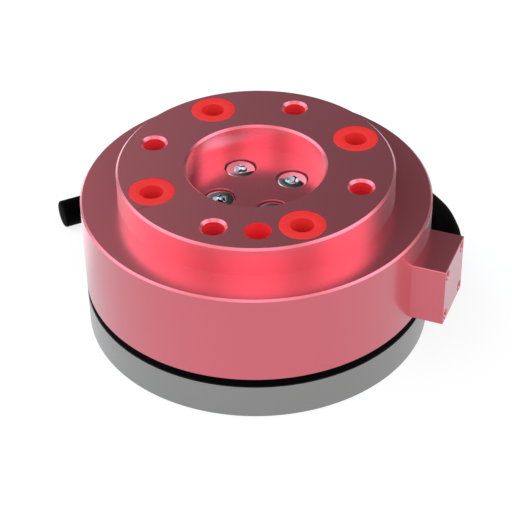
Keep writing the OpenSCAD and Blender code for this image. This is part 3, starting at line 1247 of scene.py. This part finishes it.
@dataclass
class CableBlock:
    """The block on the housing's side, with a saddle back, and the collar where the cable leaves.

    Attributes:
        frame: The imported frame.
        chamfer: Chamfer on the outer face's edges.
        tap_depth: Depth of the four tapped holes.
        sink: Depth of their countersinks.
        cable_x: Distance of the cable's bore from the axis.
        cable_z: Its height.
        bore_r: Its radius.
        bore_y: Where it starts, along Y.
        bore_l: Its length.
        collar_step: Width of the step on the collar.
        collar_taper: Width of the collar's end, over its width at the step.
    """

    frame: Frame
    chamfer: float = 0.15 * MM
    tap_depth: float = 3.6 * MM
    sink: float = 0.35 * MM
    cable_x: float = 43.1 * MM
    cable_z: float = 19.4 * MM
    bore_r: float = 3.05 * MM
    bore_y: float = -3.5 * MM
    bore_l: float = 12 * MM
    collar_step: float = 0.1 * MM
    collar_taper: float = 0.95

    def build(self) -> None:
        """Mill the block, mould the collar and finish both."""
        block = self.blank()
        cut(block, self.tapped_bits())
        bore = blank_cylinder("bore_bit", self.bore_r, 0, self.bore_l, Facets.BORE)
        cut(block, lay_along_y(bore, self.cable_x, self.bore_y, self.cable_z))
        smooth(block)
        self.frame.place(block, Slot.RED_ANODISED, "cable_block")
        self.build_collar()

    def blank(self) -> Object:
        """Mill the block's outside.

        Returns:
            The block with its chamfers and its saddle, before drilling.
        """
        low, high = self.frame.low("cable_block"), self.frame.high("cable_block")
        body_r = self.frame.high("tool_housing").x
        bpy.ops.object.select_all(action="DESELECT")
        bpy.ops.mesh.primitive_cube_add(size=1, location=(low + high) / 2, scale=high - low)
        block = bpy.context.active_object
        block.name = "side_block"
        set_place(block)
        with Bench(block) as bench:
            bench.pick_edges(lambda edge: max(v.co.x for v in edge.verts) > high.x - SAME_PLACE)
            bpy.ops.mesh.bevel(offset=self.chamfer, segments=1, affect="EDGES")
        cut(block, blank_cylinder("saddle_bit", body_r, 0, 2 * high.z, Facets.BODY))
        return block

    def tapped_bits(self) -> Object:
        """Make the cutters of the four tapped holes.

        Returns:
            All four, as one object.
        """
        bolts = self.frame.mounts["block_bolts"]
        x, _, middle_z = bolts["pos_m"]
        half_y = self.frame.dim("block_bolts", "spacing_x_mm") / 2
        half_z = self.frame.dim("block_bolts", "spacing_y_mm") / 2
        radius = self.frame.dim("block_bolts", "hole_r_mm")
        bits = [
            lay_along_x(drill_bit(radius, 0, self.tap_depth, self.sink), x, y, middle_z + z)
            for y in (-half_y, half_y)
            for z in (-half_z, half_z)
        ]
        return gather(bits, "tap_bits")

    def build_collar(self) -> None:
        """Mould the black collar round the cable."""
        low, high = self.frame.low("strain_relief"), self.frame.high("strain_relief")
        radius = (high.x - low.x) / 2
        length = high.y - low.y
        collar = blank_cylinder("collar", radius, 0, length / 2, Facets.BORE)
        with Bench(collar) as bench:
            bench.pick_cap(length / 2, up=True)
            bench.step(self.collar_step, 0)
            bench.flare(self.collar_taper, length / 2)
        cut(collar, blank_cylinder("bore", self.bore_r, -OVER, length + OVER, Facets.BORE))
        lay_along_y(collar, self.cable_x, low.y, self.cable_z)
        smooth(collar)
        self.frame.place(collar, Slot.RUBBER, "strain_relief")


@dataclass
class SignalCable:
    """The black cable, from the block round the back of the housing to its cut end on the table.

    Attributes:
        frame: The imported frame.
        radius: Radius of the jacket.
        neck: Radius of the core that goes through the collar.
        neck_l: How far the core reaches back into the collar.
        swell: How far past the collar the jacket has its full width.
        exit: Where the cable leaves the collar, in millimetres.
        lean: How far it leans towards the housing there, in degrees.
        route: Points of its centre line after that, in millimetres.
        dome: Height of the slightly bulging cut end.
        dome_steps: The bulge's steps: each one's width over the last, and its share of the height.
        crease: Angle past which an edge of the cut end shows as an edge, in degrees.
        sides: Steps in a quarter of the jacket's round section.
        steps: Steps between two points of its route.
    """

    frame: Frame
    radius: float = 3.4 * MM
    neck: float = 3.0 * MM
    neck_l: float = 0.8 * MM
    swell: float = 0.25 * MM
    exit: tuple[float, float, float] = (43.1, 8.25, 19.4)
    lean: float = 8.0
    route: tuple[tuple[float, float, float], ...] = (
        (42.15, 12.45, 19.2),
        (40.85, 16.3, 18.7),
        (38.9, 20.45, 18),
        (36.7, 24.45, 17.1),
        (34.15, 28.3, 16),
        (30.8, 32.25, 14.8),
        (24.95, 37.8, 12.7),
        (18.25, 42.25, 10.4),
        (10.8, 45.6, 8.3),
        (2.9, 47.4, 6.5),
        (-5.15, 47.8, 5.1),
        (-13.2, 46.7, 4.1),
        (-20.95, 44.15, 3.45),
        (-28.15, 40.45, 3.45),
        (-34.65, 35.55, 3.45),
        (-40.65, 29.45, 3.45),
        (-46.35, 23.45, 3.45),
        (-52.05, 17.45, 3.45),
        (-57.75, 11.45, 3.45),
    )
    dome: float = 0.5 * MM
    dome_steps: tuple[tuple[float, float], ...] = ((0.93, 0.55), (0.75, 0.35), (0.4, 0.1))
    crease: float = 60.0
    sides: int = 8
    steps: int = 6

    def build(self) -> None:
        points = [Vector(self.exit) * MM, *(Vector(p) * MM for p in self.route)]
        run = (points[-1] - points[-2]).normalized()
        points[-1] = points[-1] - run * self.dome
        cable = self.jacket(points)
        self.frame.place(cable, Slot.JACKET, "signal_cable")
        end = self.cut_end(points[-1], run)

    def jacket(self, points: Sequence[Vector]) -> Object:
        """Draw the cable as one smooth curve, slim where it goes through the collar.

        Args:
            points: Its centre line, from the collar to the cut end.

        Returns:
            The cable.
        """
        leave = Vector((-sine(self.lean), sine(90 - self.lean), 0))
        slim = self.neck / self.radius
        knots = [
            (points[0] - leave * self.neck_l, slim),
            (points[0], slim),
            (points[0] + leave * self.swell, 1.0),
            *((point, 1.0) for point in points[1:]),
        ]
        curve = bpy.data.curves.new("cable", "CURVE")
        curve.dimensions = "3D"
        curve.bevel_depth = self.radius
        curve.bevel_resolution = self.sides
        curve.resolution_u = self.steps
        spline = curve.splines.new("BEZIER")
        spline.bezier_points.add(len(knots) - 1)
        for (place, girth), knot in zip(knots, spline.bezier_points):
            knot.co = place
            knot.radius = girth
            knot.handle_left_type = knot.handle_right_type = "AUTO"
        cable = bpy.data.objects.new("cable", curve)
        bpy.context.scene.collection.objects.link(cable)
        return cable

    def cut_end(self, place: Vector, run: Vector) -> Object:
        """Model the cable's cut end, which bulges slightly.

        Args:
            place: Centre of the end's back face.
            run: The cable's direction there.

        Returns:
            The end piece.
        """
        end = blank_cylinder("cable_end", self.radius, -self.dome, 0, Facets.BORE)
        with Bench(end) as bench:
            bench.pick_cap(0, up=True)
            for width, share in self.dome_steps:
                bench.flare(width, share * self.dome)
        smooth(end, self.crease)
        turn = Vector((0, 0, 1)).rotation_difference(run).to_matrix().to_4x4()
        end.data.transform(Matrix.Translation(place) @ turn)
        self.frame.place(end, Slot.JACKET)
        return end


@dataclass
class Internals:
    """The pieces inside, which keep the frame's own shapes and get their finishes.

    Attributes:
        frame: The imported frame.
        finishes: The nodes of each slot that are only seen once the sensor is opened.
    """

    frame: Frame
    finishes: dict[Slot, tuple[str, ...]] = field(
        default_factory=lambda: {
            Slot.MACHINED: ("sensing_element",),
            Slot.GAUGE: tuple(f"gauge_set_{number}" for number in range(1, 5)),
            Slot.LAMINATE: ("circuit_board",),
            Slot.CHIP: ("board_chips",),
            Slot.HEADER: ("board_header",),
            Slot.BRASS: ("board_standoffs",),
            Slot.SCREW: ("board_screws", "block_screws", "hub_dowel_pins"),
            Slot.WIRE: ("signal_wires",),
        }
    )

    def build(self) -> None:
        """Put each inner node's finish on it."""
        for slot, names in self.finishes.items():
            for name in names:
                self.frame.shop.coat(self.frame.nodes[name], slot)
                LOG.info("finished %s", name)


# ---------------------------------------------------------------------------
# Studio
# ---------------------------------------------------------------------------


def sine(degrees: float) -> float:
    """Return the sine of an angle in degrees."""
    return math.sin(math.radians(degrees))


def aim(azimuth: float, elevation: float) -> tuple[float, float, float]:
    """Return the direction at an azimuth from the front and an elevation, both in degrees."""
    level = sine(90 - elevation)
    return (sine(azimuth) * level, -sine(90 - azimuth) * level, sine(elevation))


@dataclass(frozen=True)
class SoftSpot:
    """A round patch of the surroundings, seen from the sensor, with a soft edge.

    Attributes:
        azimuth: Where its middle is, in degrees from the front.
        elevation: How high its middle is, in degrees.
        core: How far from its middle it keeps its full strength, in degrees.
        reach: How far from its middle it has faded out, in degrees.
        middle: Its value in the middle.
        around: The value round it.
    """

    azimuth: float
    elevation: float
    core: float
    reach: float
    middle: float
    around: float

    def value(self, tree: Tree, way: Socket) -> Socket:
        """Add the nodes that give its value in a direction.

        Args:
            tree: The node tree.
            way: The direction.

        Returns:
            The value.
        """
        nearness = add_node(
            tree,
            "ShaderNodeVectorMath",
            {"operation": "DOT_PRODUCT", 1: aim(self.azimuth, self.elevation)},
            {0: way},
        ).outputs["Value"]
        return add_node(
            tree,
            "ShaderNodeMapRange",
            {
                "interpolation_type": "SMOOTHSTEP",
                "From Min": sine(90 - self.reach),
                "From Max": sine(90 - self.core),
                "To Min": self.around,
                "To Max": self.middle,
            },
            {"Value": nearness},
        ).outputs["Result"]


@dataclass(frozen=True)
class PanelRing:
    """A ring of large soft panels round the table, with a black flag behind the sensor.

    Metal shows what stands round it, so this ring makes the reflections: its gap behind the sensor
    keeps the flat top faces deep, and its panels in front and at the sides light up the walls.

    Attributes:
        low: Brightness near the table's horizon.
        high: Brightness of the panels.
        top: Brightness overhead.
        foot: Elevations between which the brightness rises from low to high, in degrees.
        head: Elevations between which it falls from high to top, in degrees.
        flag: The black flag, by how much of the ring's light passes it.
        lamps: The brighter spots in the ring, by what they add.
        lamp_colour: Their slightly cool white.
    """

    low: float = 0.5
    high: float = 1.1
    top: float = 0.75
    foot: tuple[float, float] = (8.0, 28.0)
    head: tuple[float, float] = (44.0, 62.0)
    flag: SoftSpot = SoftSpot(175.0, 32.0, core=18.0, reach=48.0, middle=0.03, around=1.0)
    lamps: tuple[SoftSpot, ...] = (
        SoftSpot(-75.0, 36.0, core=0.0, reach=44.0, middle=1.2, around=0.0),
        SoftSpot(20.0, 36.0, core=0.0, reach=30.0, middle=1.27, around=0.0),
        SoftSpot(100.0, 36.0, core=0.0, reach=30.0, middle=1.38, around=0.0),
    )
    lamp_colour: str = "DFE8FF"

    def light(self, tree: Tree) -> Socket:
        """Add the nodes that give the light from every direction.

        Args:
            tree: The world's node tree.

        Returns:
            The light's colour, at its own brightness.
        """
        way = add_node(tree, "ShaderNodeTexCoord").outputs["Generated"]
        height = add_node(tree, "ShaderNodeSeparateXYZ", links={0: way}).outputs["Z"]
        light = self.flag.value(tree, way)
        rise = (self.foot, self.low, self.high)
        fall = (self.head, 1.0, self.top / self.high)
        for (start, end), below, above in (rise, fall):
            step = add_node(
                tree,
                "ShaderNodeMapRange",
                {
                    "interpolation_type": "SMOOTHSTEP",
                    "From Min": sine(start),
                    "From Max": sine(end),
                    "To Min": below,
                    "To Max": above,
                },
                {"Value": height},
            ).outputs["Result"]
            light = add_node(
                tree, "ShaderNodeMath", {"operation": "MULTIPLY"}, {0: light, 1: step}
            ).outputs["Value"]
        colour = linear_colour(self.lamp_colour)[:3]
        for lamp in self.lamps:
            light = add_node(
                tree,
                "ShaderNodeVectorMath",
                {"operation": "MULTIPLY_ADD", 1: colour},
                {0: lamp.value(tree, way), 2: light},
            ).outputs["Vector"]
        return light


@dataclass
class Studio:
    """Camera, floor and surroundings.

    Attributes:
        azimuth: Which side the camera looks from, in degrees from the front.
        pan: How far it is turned aside from the axis, in degrees to the left.
        pitch: How far it looks down, in degrees.
        roll: How far it leans, in degrees.
        ground: Its distance from the axis along the floor.
        height: Its height.
        lens: Focal length in millimetres.
        sensor: Width of its sensor in millimetres.
        clip: Nearest and furthest distance that it sees.
        floor_size: Length of the floor's sides.
        floor_glow: How much of the floor's white it gives by itself where it is seen or mirrored.
        mirrored: How much of that glow the metal mirrors, from the floor and its bright side.
        floor_albedo: How pale it is to the light that it throws back at the sensor.
        shadow: How pale it is where it is seen or mirrored, besides its glow, to keep the shadow.
        ring: The panels that light the scene.
    """

    azimuth: float = 22.0
    pan: float = 0.057
    pitch: float = 37.675
    roll: float = -1.05
    ground: float = 315.6 * MM
    height: float = 257.7 * MM
    lens: float = 119.8
    sensor: float = 36.0
    clip: tuple[float, float] = (0.01, 20.0)
    floor_size: float = 8.0
    floor_glow: float = 0.8
    mirrored: SoftSpot = SoftSpot(-130.0, 0.0, core=20.0, reach=60.0, middle=1.3, around=0.58)
    floor_albedo: float = 0.8
    shadow: float = 0.25
    ring: PanelRing = PanelRing()

    def build(self) -> None:
        """Set up the whole studio."""
        self.camera()
        self.floor()
        self.surroundings()
        bpy.context.scene.view_settings.view_transform = "Standard"

    def camera(self) -> None:
        """Place the camera."""
        data = bpy.data.cameras.new("camera")
        data.lens = self.lens
        data.sensor_width = self.sensor
        data.clip_start, data.clip_end = self.clip
        camera = bpy.data.objects.new("camera", data)
        x, y, _ = aim(self.azimuth, 0)
        camera.matrix_world = (
            Matrix.Translation((self.ground * x, self.ground * y, self.height))
            @ Matrix.Rotation(math.radians(self.azimuth + self.pan), 4, "Z")
            @ Matrix.Rotation(math.radians(90 - self.pitch), 4, "X")
            @ Matrix.Rotation(math.radians(self.roll), 4, "Z")
        )
        bpy.context.scene.collection.objects.link(camera)
        bpy.context.scene.camera = camera

    def floor(self) -> None:
        """Lay a plain pale floor that shows white and keeps a soft shadow."""
        bpy.ops.object.select_all(action="DESELECT")
        bpy.ops.mesh.primitive_plane_add(size=self.floor_size, location=(0, 0, 0))
        floor = bpy.context.active_object
        floor.name = "floor"
        material, tree = new_material("white studio floor")
        rays = add_node(tree, "ShaderNodeLightPath").outputs
        greys = {6: (self.shadow,) * 3 + (1,), 7: (self.floor_albedo,) * 3 + (1,)}
        pale = add_node(
            tree, "ShaderNodeMix", {"data_type": "RGBA", **greys}, {0: rays["Is Diffuse Ray"]}
        ).outputs[2]
        matt = add_node(tree, "ShaderNodeBsdfDiffuse", links={"Color": pale})
        level = add_node(
            tree,
            "ShaderNodeMath",
            {"operation": "MULTIPLY", 1: self.floor_glow},
            {0: self.shown(tree, rays)},
        ).outputs["Value"]
        glow = add_node(tree, "ShaderNodeEmission", {"Color": (1, 1, 1, 1)}, {"Strength": level})
        both = add_node(
            tree, "ShaderNodeAddShader", links={0: matt.outputs["BSDF"], 1: glow.outputs["Emission"]}
        )
        add_node(tree, "ShaderNodeOutputMaterial", links={"Surface": both.outputs["Shader"]})
        floor.data.materials.append(material)

    def shown(self, tree: Tree, rays: bpy.types.NodeOutputs) -> Socket:
        """Add how far each ray shows the floor's glow: straight, through glass or mirrored.

        Args:
            tree: The floor's node tree.
            rays: Outputs of its light path node.

        Returns:
            The share of the glow.
        """
        place = add_node(tree, "ShaderNodeTexCoord").outputs["Object"]
        way = add_node(tree, "ShaderNodeVectorMath", {"operation": "NORMALIZE"}, {0: place})
        share = self.mirrored.value(tree, way.outputs["Vector"])
        return add_node(
            tree,
            "ShaderNodeMath",
            {"operation": "MULTIPLY_ADD"},
            {0: rays["Is Glossy Ray"], 1: share, 2: self.straight(tree, rays)},
        ).outputs["Value"]

    @staticmethod
    def straight(tree: Tree, rays: bpy.types.NodeOutputs) -> Socket:
        """Add whether a ray comes straight from the camera or through glass.

        Args:
            tree: The node tree.
            rays: Outputs of its light path node.

        Returns:
            One for such a ray, zero for any other.
        """
        return add_node(
            tree,
            "ShaderNodeMath",
            {"operation": "MAXIMUM"},
            {0: rays["Is Camera Ray"], 1: rays["Is Transmission Ray"]},
        ).outputs["Value"]

    def surroundings(self) -> None:
        """Light the scene by the panels, on a backdrop that is white straight to the camera.

        The white is left out of what metal mirrors: there it would wash out the light and dark
        sides that the panels and the flag give the housing.
        """
        world = bpy.data.worlds.new("studio")
        world.use_nodes = True
        tree = world.node_tree
        tree.nodes.clear()
        rays = add_node(tree, "ShaderNodeLightPath").outputs
        shown = add_node(
            tree,
            "ShaderNodeMix",
            {"data_type": "RGBA", 7: (1, 1, 1, 1)},
            {0: self.straight(tree, rays), 6: self.ring.light(tree)},
        ).outputs[2]
        back = add_node(tree, "ShaderNodeBackground", {"Strength": 1.0}, {"Color": shown})
        add_node(tree, "ShaderNodeOutputWorld", links={"Surface": back.outputs["Background"]})
        bpy.context.scene.world = world


def main() -> None:
    """Build the sensor around its frame, and the studio around the sensor."""
    logging.basicConfig(level=logging.INFO, format="%(name)s: %(message)s")
    frame = Frame.load()
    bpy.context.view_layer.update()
    Studio().build()
    SignalCable(frame).build()
    base = BasePlate(frame)
    base.build()
    GapSeal(frame).build()
    housing = ToolHousing(frame)
    housing.build()
    AccessPlugs(frame).build()
    Screws(frame, housing, base).build()
    CableBlock(frame).build()
    Internals(frame).build()


if __name__ == "__main__":
    main()
